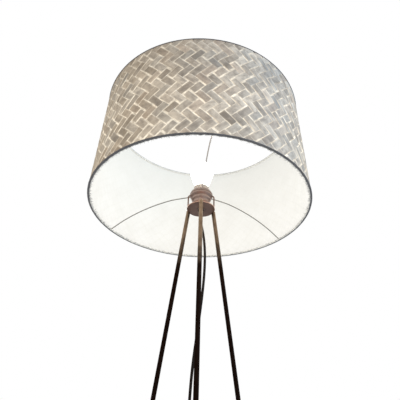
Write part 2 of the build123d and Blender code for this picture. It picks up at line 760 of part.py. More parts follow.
SPRING_WIRE_R = 0.45
SPRING_R = 3.6
SPRING_TURNS = 4
BUTTON_FLOOR = 15.0
SPRING_GAP = 0.05  # at each end of the spring
with BuildPart() as switch_spring:
    spring_bottom = SWITCH_BASE_HEIGHT + SPRING_WIRE_R + SPRING_GAP
    spring_height = BUTTON_FLOOR - spring_bottom - SPRING_WIRE_R - SPRING_GAP
    with BuildLine() as coil:
        spring_foot = (SWITCH_X, SWITCH_Y, spring_bottom)
        Helix(spring_height / SPRING_TURNS, spring_height, SPRING_R, center=spring_foot)
    with BuildSketch(Plane(origin=coil.wire() @ 0, z_dir=coil.wire() % 0)):
        Circle(SPRING_WIRE_R)
    sweep(path=coil.wire(), is_frenet=True)
save(switch_spring, "switch_spring")

# The button is a shallow cup that slides in the cover's hole, with a flange that keeps it in.
BUTTON_FLANGE_R = 14.2
BUTTON_EDGE = 2.5
BUTTON_GAP = 0.2  # from the flange up to the cover
with BuildPart() as switch_button:
    with BuildSketch(Plane.XY.offset(BUTTON_FLOOR)):
        with Locations((SWITCH_X, SWITCH_Y)):
            Circle(BUTTON_R)
    extrude(amount=BUTTON_TOP - BUTTON_FLOOR)
    fillet(switch_button.edges().group_by(Axis.Z)[-1], BUTTON_EDGE)
    with BuildSketch(Plane.XY.offset(BUTTON_FLOOR)):
        with Locations((SWITCH_X, SWITCH_Y)):
            Circle(BUTTON_FLANGE_R)
    extrude(amount=SWITCH_HEIGHT - SWITCH_WALL - BUTTON_FLOOR - BUTTON_GAP)
save(switch_button, "switch_button")

# Two brass leaves that the button's plate bridges, one each side of the spring's post.
LEAF_WIDTH = 4.0
LEAF_SPAN = 15.0
LEAF = 0.6
SPRING_ROOM = 1.6
with BuildPart() as switch_contacts:
    with BuildSketch(Plane.XY.offset(SWITCH_BASE_HEIGHT)):
        with Locations((SWITCH_X, SWITCH_Y)):
            Rectangle(LEAF_WIDTH, LEAF_SPAN)
            Circle(SPRING_R + SPRING_ROOM, mode=Mode.SUBTRACT)
    extrude(amount=LEAF)
save(switch_contacts, "switch_contacts")


RELIEF_STEP = 1.0  # how much wider the sleeve's root is than its spigot
SPIGOT_LENGTH = SWITCH_WALL + 1.0


def relief(end, direction, axis_y, axis_z):
    """A tapered sleeve along X, from a housing's end face out along the cord, with a spigot into it."""
    tip = end + direction * RELIEF_LENGTH
    with BuildPart() as sleeve:
        with BuildSketch(Plane(origin=(end, axis_y, axis_z), z_dir=(direction, 0, 0))):
            Circle(RELIEF_SPIGOT_R + RELIEF_STEP)
        with BuildSketch(Plane(origin=(tip, axis_y, axis_z), z_dir=(direction, 0, 0))):
            Circle(RELIEF_TIP_R)
        loft()
        with BuildSketch(Plane(origin=(end, axis_y, axis_z), z_dir=(-direction, 0, 0))):
            Circle(RELIEF_SPIGOT_R)
        extrude(amount=SPIGOT_LENGTH)
    return sleeve


save(relief(SWITCH_X + SWITCH_LENGTH / 2, 1, SWITCH_Y, SWITCH_CORD_Z), "switch_relief_in")
save(relief(SWITCH_X - SWITCH_LENGTH / 2, -1, SWITCH_Y, SWITCH_CORD_Z), "switch_relief_out")

# ---- Plug: a flat two-pin body that lies on the floor --------------------------------------------
PLUG_CORNER = 6.0
PLUG_SHOULDER = 14.0  # where the tapering back of the body reaches its full width
PIN_ROOT_R = 1.6
PIN_ROOT = 10.0
PIN_EDGE = 0.8
PLUG_BACK = 0.62  # the body's width at its back end, over its full width


def plug_plane(along):
    """The plane square to the plug, at a length from the back end of its body."""
    return Plane(origin=(PLUG_X + along, PLUG_Y, PLUG_HEIGHT / 2), x_dir=(0, 1, 0), z_dir=(1, 0, 0))


with BuildPart() as plug_body:
    with BuildSketch(plug_plane(0)):
        RectangleRounded(PLUG_WIDTH * PLUG_BACK, PLUG_HEIGHT, PLUG_CORNER)
    with BuildSketch(plug_plane(PLUG_SHOULDER)):
        RectangleRounded(PLUG_WIDTH, PLUG_HEIGHT, PLUG_CORNER)
    loft()
    with BuildSketch(plug_plane(PLUG_SHOULDER)):
        RectangleRounded(PLUG_WIDTH, PLUG_HEIGHT, PLUG_CORNER)
    extrude(amount=PLUG_LENGTH - PLUG_SHOULDER)
    with BuildSketch(plug_plane(PLUG_LENGTH)):
        with GridLocations(PIN_SPACING, 0, 2, 1):
            Circle(PIN_ROOT_R)
    extrude(amount=-PIN_ROOT, mode=Mode.SUBTRACT)
    with BuildSketch(plug_plane(0)):
        Circle(RELIEF_SPIGOT_R)
    extrude(amount=SPIGOT_LENGTH, mode=Mode.SUBTRACT)
save(plug_body, "plug_body")

with BuildPart() as plug_pins:
    with BuildSketch(plug_plane(PLUG_LENGTH)):
        with GridLocations(PIN_SPACING, 0, 2, 1):
            Circle(PIN_R)
    extrude(amount=PIN_LENGTH)
    fillet(plug_pins.edges().group_by(Axis.X)[-1], PIN_EDGE)
    with BuildSketch(plug_plane(PLUG_LENGTH)):
        with GridLocations(PIN_SPACING, 0, 2, 1):
            Circle(PIN_ROOT_R)
    extrude(amount=-PIN_ROOT)
save(plug_pins, "plug_pins")

save(relief(PLUG_X, -1, PLUG_Y, PLUG_HEIGHT / 2), "plug_relief")

# ---- Free cord -----------------------------------------------------------------------------------
total = cord("cord_drop", DROP_ROUTE)
total += cord("cord_lead", LEAD_ROUTE)
total += cord("cord_tail", TAIL_ROUTE)

with BuildPart() as cord_coil:
    with BuildSketch(Plane.XZ.offset(-COIL_Y)):
        with Locations((COIL_X + (COIL_INNER_R + COIL_OUTER_R) / 2, COIL_HEIGHT / 2)):
            RectangleRounded(COIL_OUTER_R - COIL_INNER_R, COIL_HEIGHT, CORD_R)
    revolve(axis=Axis((COIL_X, COIL_Y, 0), (0, 0, 1)))
save(cord_coil, "cord_coil")
print(f"cord outside its coil: {total:.0f}")
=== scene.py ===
"""The looks of the tripod floor lamp: plaited drum shade, glowing lining, bronze stand and mains cord."""

import json
import math
import random

import bmesh
import bpy
from math import cos, pi, radians, sin
from mathutils import Matrix, Vector


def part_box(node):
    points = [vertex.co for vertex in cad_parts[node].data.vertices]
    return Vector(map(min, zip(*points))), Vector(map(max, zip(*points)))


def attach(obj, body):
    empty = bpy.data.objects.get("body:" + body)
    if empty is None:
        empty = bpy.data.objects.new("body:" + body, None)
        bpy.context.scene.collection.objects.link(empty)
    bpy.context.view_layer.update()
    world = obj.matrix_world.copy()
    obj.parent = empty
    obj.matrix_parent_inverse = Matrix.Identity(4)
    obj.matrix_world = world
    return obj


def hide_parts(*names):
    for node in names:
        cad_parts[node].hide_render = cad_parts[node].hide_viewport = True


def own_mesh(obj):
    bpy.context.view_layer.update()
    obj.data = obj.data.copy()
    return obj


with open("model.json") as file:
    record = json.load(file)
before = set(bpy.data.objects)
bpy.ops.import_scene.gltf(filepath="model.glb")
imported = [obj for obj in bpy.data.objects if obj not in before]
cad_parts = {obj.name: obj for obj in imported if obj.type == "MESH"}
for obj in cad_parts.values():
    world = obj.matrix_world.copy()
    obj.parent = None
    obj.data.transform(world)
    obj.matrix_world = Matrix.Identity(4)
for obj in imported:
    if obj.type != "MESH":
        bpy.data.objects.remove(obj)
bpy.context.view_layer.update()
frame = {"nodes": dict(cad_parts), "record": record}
nodes = frame["nodes"]

MM = 0.001


# ---- Places and sizes read from the frame --------------------------------------------------------
def middle(node):
    """The centre of a CAD node's box."""
    low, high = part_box(node)
    return (Vector(low) + Vector(high)) / 2


def top_of(node):
    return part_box(node)[1][2]


def bottom_of(node):
    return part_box(node)[0][2]


def reach_of(node):
    """The largest X of a CAD node that is round about the lamp's axis."""
    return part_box(node)[1][0]


HUB_Z = middle("hub_plate").z
SHADE_LOW = bottom_of("bottom_binding")
SHADE_HIGH = top_of("top_binding")
SHADE_HEIGHT = SHADE_HIGH - SHADE_LOW
BINDING = 0.7 * MM  # thickness of the edge tape
WALL_LOW_R = reach_of("bottom_binding") - BINDING  # outer face of the plait at the lower edge
WALL_HIGH_R = reach_of("top_binding") - BINDING
COVER = 1.6 * MM
LINING = 0.6 * MM
LINING_GAP = 0.15 * MM  # between the cover and the lining


# ---- Camera --------------------------------------------------------------------------------------
CAMERA_BACK = 882.3 * MM  # from the lamp's axis
CAMERA_BELOW = 563.7 * MM  # under the hub plate
PITCH = radians(30.88)
YAW = radians(-3.51)
ROLL = radians(-0.28)

camera_data = bpy.data.cameras.new("camera")
camera_data.sensor_width = 36.0
camera_data.lens = 37.53
camera_data.shift_x = -0.0563
camera_data.shift_y = 0.0543
camera = bpy.data.objects.new("camera", camera_data)
turn = Matrix.Rotation(YAW, 4, "Z") @ Matrix.Rotation(pi / 2 + PITCH, 4, "X") @ Matrix.Rotation(ROLL, 4, "Z")
camera.matrix_world = Matrix.Translation((0, -CAMERA_BACK, HUB_Z - CAMERA_BELOW)) @ turn
bpy.context.collection.objects.link(camera)
bpy.context.scene.camera = camera


# ---- Node helpers --------------------------------------------------------------------------------
def node(tree, kind, inputs=None, **settings):
    """A new shader node. An input is a plain value, or another node's output socket to link from."""
    made = tree.nodes.new(kind)
    for key, value in settings.items():
        setattr(made, key, value)
    for key, value in (inputs or {}).items():
        if isinstance(value, bpy.types.NodeSocket):
            tree.links.new(value, made.inputs[key])
        else:
            made.inputs[key].default_value = value
    return made


def material(name, **sockets):
    """(material, its node tree, its Principled shader), with plain values set on the shader's sockets."""
    made = bpy.data.materials.new(name)
    made.use_nodes = True
    shader = made.node_tree.nodes["Principled BSDF"]
    for key, value in sockets.items():
        shader.inputs[key.replace("_", " ")].default_value = value
    return made, made.node_tree, shader


def feed(tree, shader, **sources):
    """Link output sockets to a shader's inputs, which are named with _ for each space."""
    for key, source in sources.items():
        tree.links.new(source, shader.inputs[key.replace("_", " ")])


def noise(tree, scale, vector, detail=4.0, roughness=0.55):
    inputs = {"Vector": vector, "Scale": scale, "Detail": detail, "Roughness": roughness}
    return node(tree, "ShaderNodeTexNoise", inputs).outputs["Fac"]


def ramp(tree, factor, stops):
    """A colour ramp from (position, colour) stops."""
    made = node(tree, "ShaderNodeValToRGB", {"Fac": factor})
    elements = made.color_ramp.elements
    while len(elements) < len(stops):
        elements.new(0.5)
    for element, (position, colour) in zip(elements, stops):
        element.position = position
        element.color = (*colour, 1.0)
    return made.outputs["Color"]


NOISE_SPAN = (0.3, 0.7)  # where nearly all of a noise's values lie


def two_tone(tree, cloud, dark, light):
    """A colour that wanders between dark and light with a noise."""
    return ramp(tree, cloud, list(zip(NOISE_SPAN, (dark, light))))


def span(tree, value, low, high, to_low, to_high):
    """A value mapped from one range to another, and held inside it."""
    inputs = {"Value": value, "From Min": low, "From Max": high, "To Min": to_low, "To Max": to_high}
    return node(tree, "ShaderNodeMapRange", inputs).outputs["Result"]


def vary(tree, cloud, low, high):
    """A value that wanders between low and high with a noise."""
    return span(tree, cloud, *NOISE_SPAN, low, high)


MIX_FACTOR, MIX_A, MIX_B, MIX_RESULT = 0, 6, 7, 2  # a Mix node's sockets for colours


def mix(tree, factor, a, b):
    """A colour mixed from a to b. The factor is an output socket, and so is a colour, or it is plain."""
    made = node(tree, "ShaderNodeMix", {MIX_FACTOR: factor}, data_type="RGBA")
    for index, colour in ((MIX_A, a), (MIX_B, b)):
        if isinstance(colour, bpy.types.NodeSocket):
            tree.links.new(colour, made.inputs[index])
        else:
            made.inputs[index].default_value = (*colour, 1.0)
    return made.outputs[MIX_RESULT]


def math_node(tree, operation, a, b):
    return node(tree, "ShaderNodeMath", {0: a, 1: b}, operation=operation).outputs["Value"]


def bump(tree, shader, height, strength, distance):
    made = node(tree, "ShaderNodeBump", {"Height": height, "Strength": strength, "Distance": distance})
    tree.links.new(made.outputs["Normal"], shader.inputs["Normal"])


def object_space(tree):
    return node(tree, "ShaderNodeTexCoord").outputs["Object"]


def part_of(tree, place, axis):
    """One coordinate of a place."""
    return node(tree, "ShaderNodeSeparateXYZ", {0: place}).outputs[axis]


def grain_map(tree):
    """A piece's own unwrapped coordinates, in metres."""
    return node(tree, "ShaderNodeUVMap", uv_map="grain").outputs["UV"]


def attribute(tree, name):
    return node(tree, "ShaderNodeAttribute", attribute_name=name).outputs["Fac"]


# ---- Materials -----------------------------------------------------------------------------------
def painted_metal(name, dark, light, roughness, metallic):
    """Satin lacquer over metal: cloudy tone, fine orange peel, and roughness that wanders."""
    made, tree, shader = material(name, Metallic=metallic, Coat_Weight=0.15, Coat_Roughness=0.3)
    place = object_space(tree)
    cloud = noise(tree, 60.0, place)
    peel = noise(tree, 900.0, place, detail=2.0)
    feed(tree, shader, Base_Color=two_tone(tree, cloud, dark, light),
         Roughness=vary(tree, peel, roughness - 0.06, roughness + 0.08))
    bump(tree, shader, peel, 0.12, 0.0002)
    return made


def leg_bronze_with_painted_light(name, lit_z, unlit_z):
    """A leg's nearly black lacquer with painted lamp light: lit bronze from lit_z up, fading out by unlit_z.
    """
    made, tree, shader = material(name, Specular_IOR_Level=0.015)
    place = object_space(tree)
    cloud = noise(tree, 60.0, place)
    peel = noise(tree, 900.0, place, detail=2.0)
    wavering = math_node(tree, "ADD", part_of(tree, place, "Z"), vary(tree, cloud, -0.012, 0.012))
    # Painted lamp light: how much of the lit bronze shows, by height.
    painted_lamp_light = span(tree, wavering, unlit_z, lit_z, 0.0, 1.0)
    dark = two_tone(tree, cloud, (0.0088, 0.0036, 0.0022), (0.0150, 0.0070, 0.0044))
    # The bronze as lit by the lamp, for the painted light.
    lamp_lit_bronze = two_tone(tree, cloud, (0.088, 0.062, 0.043), (0.158, 0.116, 0.083))
    glossier_where_lit = span(tree, painted_lamp_light, 0.0, 1.0, 0.0, 0.22)
    feed(tree, shader, Base_Color=mix(tree, painted_lamp_light, dark, lamp_lit_bronze),
         Metallic=span(tree, painted_lamp_light, 0.0, 1.0, 0.0, 0.30),
         Roughness=math_node(tree, "SUBTRACT", vary(tree, peel, 0.46, 0.60), glossier_where_lit))
    bump(tree, shader, peel, 0.12, 0.0002)
    return made


def bare_metal(name, dark, light, roughness):
    """Plated or plain metal with fine turning marks."""
    made, tree, shader = material(name, Metallic=1.0)
    place = object_space(tree)
    turning = {"Vector": place, "Scale": 700.0, "Distortion": 2.5, "Detail": 2.0}
    marks = node(tree, "ShaderNodeTexWave", turning, bands_direction="Z").outputs["Fac"]
    cloud = noise(tree, 150.0, place)
    feed(tree, shader, Base_Color=two_tone(tree, cloud, dark, light),
         Roughness=vary(tree, cloud, roughness - 0.05, roughness + 0.1))
    bump(tree, shader, marks, 0.08, 0.0001)
    return made


def moulded_plastic(name, dark, light, roughness, texture=1400.0, relief=0.25):
    """Moulded plastic or rubber with a fine spark-eroded grain, or glass and glaze with a finer one."""
    made, tree, shader = material(name, Specular_IOR_Level=0.45)
    place = object_space(tree)
    grain = noise(tree, texture, place, detail=3.0)
    feed(tree, shader, Base_Color=two_tone(tree, noise(tree, 45.0, place), dark, light),
         Roughness=vary(tree, grain, roughness - 0.05, roughness + 0.1))
    bump(tree, shader, grain, relief, 0.0002)
    return made


def cord_sheath():
    """Extruded PVC: nearly smooth, with faint drag marks and dust."""
    made, tree, shader = material("cord_sheath", Specular_IOR_Level=0.12)
    place = object_space(tree)
    drag = noise(tree, 500.0, place, detail=2.0)
    dust = noise(tree, 30.0, place, detail=5.0)
    dusty = ramp(tree, dust, [(0.35, (0.0085, 0.0045, 0.003)), (0.75, (0.018, 0.0115, 0.0085))])
    feed(tree, shader, Base_Color=dusty, Roughness=vary(tree, dust, 0.38, 0.52))
    bump(tree, shader, drag, 0.15, 0.0002)
    return made


def stretched_uv(tree, along, across, seed):
    """The strip's own coordinates, in metres along and across it, scaled for a noise."""
    inputs = {"Vector": grain_map(tree), "Scale": (along, across, 1.0), "Location": (seed, seed / 2, 0.0)}
    return node(tree, "ShaderNodeMapping", inputs).outputs["Vector"]


def plait_strip(name, seed):
    """Flat plant strip, lit through from inside: fine streaks along the grain, smoky patches, a tone of its
    own for each float, and light leaking in round its border."""
    made, tree, shader = material(name, Specular_IOR_Level=0.12, Emission_Strength=1.0)
    place = object_space(tree)
    tint = attribute(tree, "tint")
    streak = noise(tree, 4.0, stretched_uv(tree, 12.0, 300.0, seed), detail=5.0)
    smoke = noise(tree, 2.0, stretched_uv(tree, 26.0, 44.0, seed), detail=3.0)
    leak_change = noise(tree, 1.6, stretched_uv(tree, 40.0, 40.0, seed + 5), detail=2.0)
    weather = noise(tree, 9.0, place, detail=2.0)
    patch = noise(tree, 55.0, place, detail=2.0)

    # Each float's own tone, under broad weathering and smaller patches.
    broad = span(tree, weather, 0.35, 0.65, -0.12, 0.18)
    clouds = math_node(tree, "ADD", broad, vary(tree, patch, -0.24, 0.24))
    tone = math_node(tree, "ADD", attribute(tree, "tone"), clouds)
    # Painted warm light from the lamp's left side: the strips there are yellower, and their glow dimmer.
    left = span(tree, part_of(tree, place, "X"), -0.02, -0.26, 0.0, 1.0)
    painted_warm_light = math_node(tree, "MULTIPLY", left, span(tree, tint, 0.15, 0.8, 0.25, 1.0))

    # What the strip looks like by the room's light.
    wool = ramp(tree, tone, [(0.0, (0.150, 0.128, 0.108)), (0.25, (0.270, 0.235, 0.205)),
                             (0.6, (0.400, 0.355, 0.312)), (1.0, (0.520, 0.468, 0.415))])
    rosy = mix(tree, span(tree, tint, 0.74, 0.95, 0.0, 0.45), wool, (0.43, 0.31, 0.245))
    slaty = mix(tree, span(tree, tint, 0.30, 0.05, 0.0, 0.55), rosy, (0.24, 0.27, 0.285))
    streaked = mix(tree, span(tree, streak, 0.35, 0.75, 0.0, 0.30), slaty, (0.60, 0.56, 0.50))
    smoked = mix(tree, span(tree, smoke, 0.44, 0.68, 0.0, 0.60), streaked, (0.165, 0.148, 0.135))
    # The painted warm light on the strips' colour.
    warm_lit_strip = mix(tree, math_node(tree, "MULTIPLY", painted_warm_light, 0.55), smoked, (0.265, 0.215, 0.145))

    # The lamp's own light, through the strip and round its border, which is weaker high up.
    through = ramp(tree, tone, [(0.0, (0.135, 0.103, 0.072)), (0.5, (0.255, 0.206, 0.148)),
                                (1.0, (0.365, 0.305, 0.226))])
    # The painted warm light dims the glow on the left side.
    dimmed = mix(tree, math_node(tree, "MULTIPLY", painted_warm_light, 0.5), through, (0.150, 0.112, 0.066))
    clouded = mix(tree, span(tree, smoke, 0.42, 0.70, 0.0, 0.60), dimmed, (0.125, 0.105, 0.088))
    sides = math_node(tree, "POWER", attribute(tree, "across"), 10.0)
    tips = math_node(tree, "POWER", math_node(tree, "MINIMUM", attribute(tree, "ends"), 1.0), 22.0)
    border = math_node(tree, "MINIMUM", math_node(tree, "ADD", sides, tips), 1.0)
    leak = math_node(tree, "MULTIPLY", border, span(tree, leak_change, 0.35, 0.65, 0.20, 1.0))
    lit = mix(tree, leak, clouded, (0.92, 0.82, 0.65))
    weaker = span(tree, part_of(tree, place, "Z"), SHADE_LOW + 0.13, SHADE_HIGH, 0.0, 0.42)
    feed(tree, shader, Base_Color=warm_lit_strip, Emission_Color=mix(tree, weaker, lit, (0.10, 0.085, 0.065)),
         Roughness=vary(tree, streak, 0.42, 0.62))
    bump(tree, shader, streak, 0.35, 0.0003)
    return made


def glowing_lining():
    """Cream laminate lit from inside: an even glow that fades towards the top, the mottle of its fibres,
    and the plait showing faintly through it as crossing lines."""
    made, tree, shader = material("glowing_lining", Roughness=0.8, Emission_Strength=0.83,
                                  Specular_IOR_Level=0.15)
    place = object_space(tree)
    fibre = noise(tree, 260.0, place, detail=6.0, roughness=0.7)
    cloud = noise(tree, 22.0, place)
    paper = two_tone(tree, cloud, (0.165, 0.158, 0.140), (0.185, 0.178, 0.160))
    flecked = mix(tree, span(tree, fibre, 0.4, 0.7, 0.0, 0.25), paper, (0.14, 0.134, 0.120))
    glow = two_tone(tree, cloud, (0.955, 0.940, 0.902), (1.0, 0.988, 0.960))
    shadow = mix(tree, span(tree, fibre, 0.45, 0.75, 0.0, 0.30), glow, (0.86, 0.84, 0.76))
    for slope in (1.0, -1.0):
        turning = {"Vector": grain_map(tree), "Rotation": (0.0, 0.0, slope * pi / 4)}
        turned = node(tree, "ShaderNodeMapping", turning).outputs["Vector"]
        wave = {"Vector": turned, "Scale": 16.5, "Distortion": 2.4, "Detail": 2.0, "Detail Scale": 3.0}
        lines = node(tree, "ShaderNodeTexWave", wave, wave_profile="SIN").outputs["Fac"]
        shadow = mix(tree, span(tree, lines, 0.80, 1.0, 0.0, 0.13), shadow, (0.80, 0.785, 0.71))
    risen = span(tree, part_of(tree, place, "Z"), SHADE_LOW, SHADE_HIGH, 0.0, 0.9)
    feed(tree, shader, Base_Color=flecked, Emission_Color=mix(tree, risen, shadow, (0.79, 0.795, 0.765)))
    bump(tree, shader, fibre, 0.2, 0.0003)
    return made


def edge_tape(name, dark, light, thread, glow=0.0):
    """Bias tape: a plain weave of fine threads, which may let some of the lamp's light through."""
    made, tree, shader = material(name, Roughness=0.85, Sheen_Weight=0.3, Sheen_Roughness=0.5,
                                  Emission_Color=(*light, 1.0), Emission_Strength=glow)
    weave = {"Vector": grain_map(tree), "Scale": 400.0, "Distortion": 0.6}
    warp = node(tree, "ShaderNodeTexWave", weave, bands_direction="X").outputs["Fac"]
    weft = node(tree, "ShaderNodeTexWave", weave, bands_direction="Y").outputs["Fac"]
    threads = math_node(tree, "ADD", warp, weft)
    wear = noise(tree, 120.0, object_space(tree), detail=5.0)
    tone = ramp(tree, wear, [(0.3, dark), (0.75, light)])
    feed(tree, shader, Base_Color=mix(tree, span(tree, threads, 0.0, 2.0, 0.0, 0.5), tone, thread))
    bump(tree, shader, threads, 0.4, 0.0003)
    return made


def lit_globe():
    """Opal glass over burning filaments: white all over, with the faint grain of its frosting."""
    made, tree, shader = material("lit_globe", Roughness=0.25, Emission_Strength=9.0, Coat_Weight=0.4)
    frost = noise(tree, 300.0, object_space(tree), detail=3.0)
    feed(tree, shader, Emission_Color=two_tone(tree, frost, (1.0, 0.95, 0.84), (1.0, 0.98, 0.91)),
         Base_Color=two_tone(tree, frost, (0.90, 0.88, 0.84), (0.95, 0.94, 0.90)))
    return made


BRONZE = painted_metal("bronze_paint", (0.190, 0.100, 0.072), (0.270, 0.150, 0.112), 0.42, 0.25)
# The painted lamp light ends higher on the back legs than on the front one.
LEG_FRONT = leg_bronze_with_painted_light("leg_bronze_front", HUB_Z - 0.130, HUB_Z - 0.188)
LEG_BACK = leg_bronze_with_painted_light("leg_bronze_back", HUB_Z - 0.066, HUB_Z - 0.150)
FITTING = painted_metal("dark_fitting", (0.085, 0.048, 0.036), (0.130, 0.078, 0.060), 0.45, 0.4)
HOLDER = painted_metal("holder_bronze", (0.330, 0.222, 0.182), (0.470, 0.340, 0.290), 0.30, 0.70)
# Painted highlight: the skirt by the bulb is a lighter copy of the holder's bronze.
LAMP_LIT_SKIRT = painted_metal("lamp_lit_skirt_bronze", (0.680, 0.590, 0.520), (0.800, 0.730, 0.670), 0.34, 0.45)
WIRE = painted_metal("grey_wire", (0.32, 0.30, 0.27), (0.42, 0.39, 0.35), 0.42, 0.4)
# Painted light: the front spider arm by the bulb is a paler copy of the wire's grey.
LAMP_LIT_WIRE = painted_metal("lamp_lit_wire", (0.58, 0.50, 0.44), (0.66, 0.58, 0.52), 0.42, 0.0)
ZINC = bare_metal("zinc_plate", (0.52, 0.52, 0.50), (0.64, 0.64, 0.63), 0.34)
BRASS = bare_metal("plain_brass", (0.62, 0.43, 0.17), (0.78, 0.58, 0.27), 0.3)
NICKEL = bare_metal("nickel_plate", (0.60, 0.58, 0.54), (0.72, 0.70, 0.66), 0.26)
CERAMIC = moulded_plastic("glazed_ceramic", (0.74, 0.71, 0.64), (0.82, 0.80, 0.74), 0.2, 300.0, 0.08)
RUBBER = moulded_plastic("foot_rubber", (0.016, 0.014, 0.013), (0.030, 0.027, 0.025), 0.72)
PLASTIC = moulded_plastic("switch_plastic", (0.018, 0.015, 0.013), (0.030, 0.026, 0.023), 0.42)
GRIP = moulded_plastic("grip_plastic", (0.022, 0.017, 0.014), (0.034, 0.027, 0.022), 0.5)
SHEATH = cord_sheath()
BROWN_LEAD = moulded_plastic("brown_lead", (0.13, 0.05, 0.02), (0.17, 0.07, 0.03), 0.4, 600.0, 0.05)
BLUE_LEAD = moulded_plastic("blue_lead", (0.02, 0.09, 0.36), (0.03, 0.12, 0.44), 0.4, 600.0, 0.05)
BLACK_GLASS = moulded_plastic("black_glass", (0.010, 0.010, 0.010), (0.018, 0.018, 0.018), 0.15, 200.0, 0.04)
CLEAR_GLASS = moulded_plastic("stem_glass", (0.70, 0.74, 0.74), (0.80, 0.83, 0.83), 0.1, 200.0, 0.03)
PHOSPHOR = moulded_plastic("phosphor", (0.80, 0.55, 0.12), (0.88, 0.66, 0.20), 0.5, 900.0, 0.2)
GLOBE = lit_globe()
LINING_GLOW = glowing_lining()
TAPE = edge_tape("edge_tape", (0.098, 0.089, 0.094), (0.205, 0.190, 0.196), (0.285, 0.27, 0.28))
FRAY = edge_tape("frayed_thread", (0.20, 0.19, 0.20), (0.34, 0.33, 0.34), (0.42, 0.41, 0.42), 0.2)
# The tape's inner side: pale and glowing, painted light from the lit lining falling on it.
LINING_LIT_TAPE = edge_tape("lining_lit_tape", (0.44, 0.435, 0.41), (0.475, 0.47, 0.445), (0.49, 0.485, 0.46), 0.50)

FINISHES = {
    "bronze_steel": BRONZE, "holder_metal": HOLDER, "shade_wire": WIRE, "zinc_steel": ZINC, "brass": BRASS,
    "cap_metal": NICKEL, "ceramic": CERAMIC, "foot_rubber": RUBBER, "switch_plastic": PLASTIC,
    "grip_plastic": GRIP, "cord_sheath": SHEATH, "brown_lead": BROWN_LEAD, "blue_lead": BLUE_LEAD,
    "black_glass": BLACK_GLASS, "clear_glass": CLEAR_GLASS, "filament": PHOSPHOR, "opal_glass": GLOBE,
    "lining": LINING_GLOW, "binding_tape": TAPE, "plaited_strip": plait_strip("plain_strip", 0.0),
}
for subpart in frame["record"]["subparts"]:
    for material_slot in nodes[subpart["node"]].material_slots:
        material_slot.material = FINISHES[subpart["material_slot"]]
OWN_FINISHES = {
    "leg_front": LEG_FRONT, "leg_back_right": LEG_BACK, "leg_back_left": LEG_BACK,
    "nipple_bottom_nut": FITTING, "holder_skirt": LAMP_LIT_SKIRT, "spider_arm_front": LAMP_LIT_WIRE,
}
for name, finish in OWN_FINISHES.items():
    for material_slot in nodes[name].material_slots:
        material_slot.material = finish


# ---- Mesh helpers --------------------------------------------------------------------------------
def mesh_object(name, vertices, faces, finish, smooth=True):
    mesh = bpy.data.meshes.new(name)
    mesh.from_pydata(vertices, [], faces)
    mesh.update()
    mesh.materials.append(finish)
    if smooth:
        mesh.shade_smooth()
    made = bpy.data.objects.new(name, mesh)
    bpy.context.collection.objects.link(made)
    return made


def unwrap(mesh, grains):
    """Give a mesh its unwrapped coordinates, one pair for each vertex."""
    uv = mesh.uv_layers.new(name="grain")
    uv.data.foreach_set("uv", [value for loop in mesh.loops for value in grains[loop.vertex_index]])


# ---- Foot switch's spring ------------------------------------------------------------------------
SPRING_WIRE_R = 0.45 * MM
SPRING_TURNS = 6
SPRING_STEPS = 28  # places along each turn
SPRING_SIDES = 8
SPRING_CLOSING = 0.8  # how far the turns close up at both ends, from 0 for even turns to 1


def button_spring():
    """A coil spring with closed ends under the switch's button."""
    low, high = (Vector(corner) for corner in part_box("switch_spring"))
    centre = (low + high) / 2
    foot, top = low.z + SPRING_WIRE_R, high.z - SPRING_WIRE_R
    radius = (high.x - low.x) / 2 - SPRING_WIRE_R
    places = SPRING_TURNS * SPRING_STEPS
    vertices, faces = [], []
    for place in range(places + 1):
        share = place / places
        climb = share - SPRING_CLOSING * sin(2 * pi * share) / (2 * pi)
        about = 2 * pi * place / SPRING_STEPS
        outward = Vector((cos(about), sin(about), 0.0))
        wire_middle = Vector((centre.x, centre.y, foot + (top - foot) * climb)) + outward * radius
        for side in range(SPRING_SIDES):
            turned = 2 * pi * side / SPRING_SIDES
            across = outward * cos(turned) + Vector((0, 0, sin(turned)))
            vertices.append(wire_middle + SPRING_WIRE_R * across)
    for place in range(places):
        for side in range(SPRING_SIDES):
            a = place * SPRING_SIDES + side
            b = place * SPRING_SIDES + (side + 1) % SPRING_SIDES
            faces.append((a, b, b + SPRING_SIDES, a + SPRING_SIDES))
    faces.append(tuple(reversed(range(SPRING_SIDES))))
    faces.append(tuple(places * SPRING_SIDES + side for side in range(SPRING_SIDES)))
    made = mesh_object("button_spring", vertices, faces, ZINC)
    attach(made, "stand")
    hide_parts("switch_spring")
    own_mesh(made)
    return made


# ---- Cords ---------------------------------------------------------------------------------------
CORD_R = 3 * MM
GRIP_BOTTOM = bottom_of("cord_grip")
SWITCH = middle("switch_base")
SWITCH_IN = Vector((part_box("switch_relief_in")[1][0], SWITCH.y, middle("switch_relief_in").z))
SWITCH_OUT = Vector((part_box("switch_relief_out")[0][0], SWITCH.y, middle("switch_relief_out").z))
COIL = middle("cord_coil")
PLUG_TAIL = Vector((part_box("plug_relief")[0][0], middle("plug_relief").y, middle("plug_relief").z))

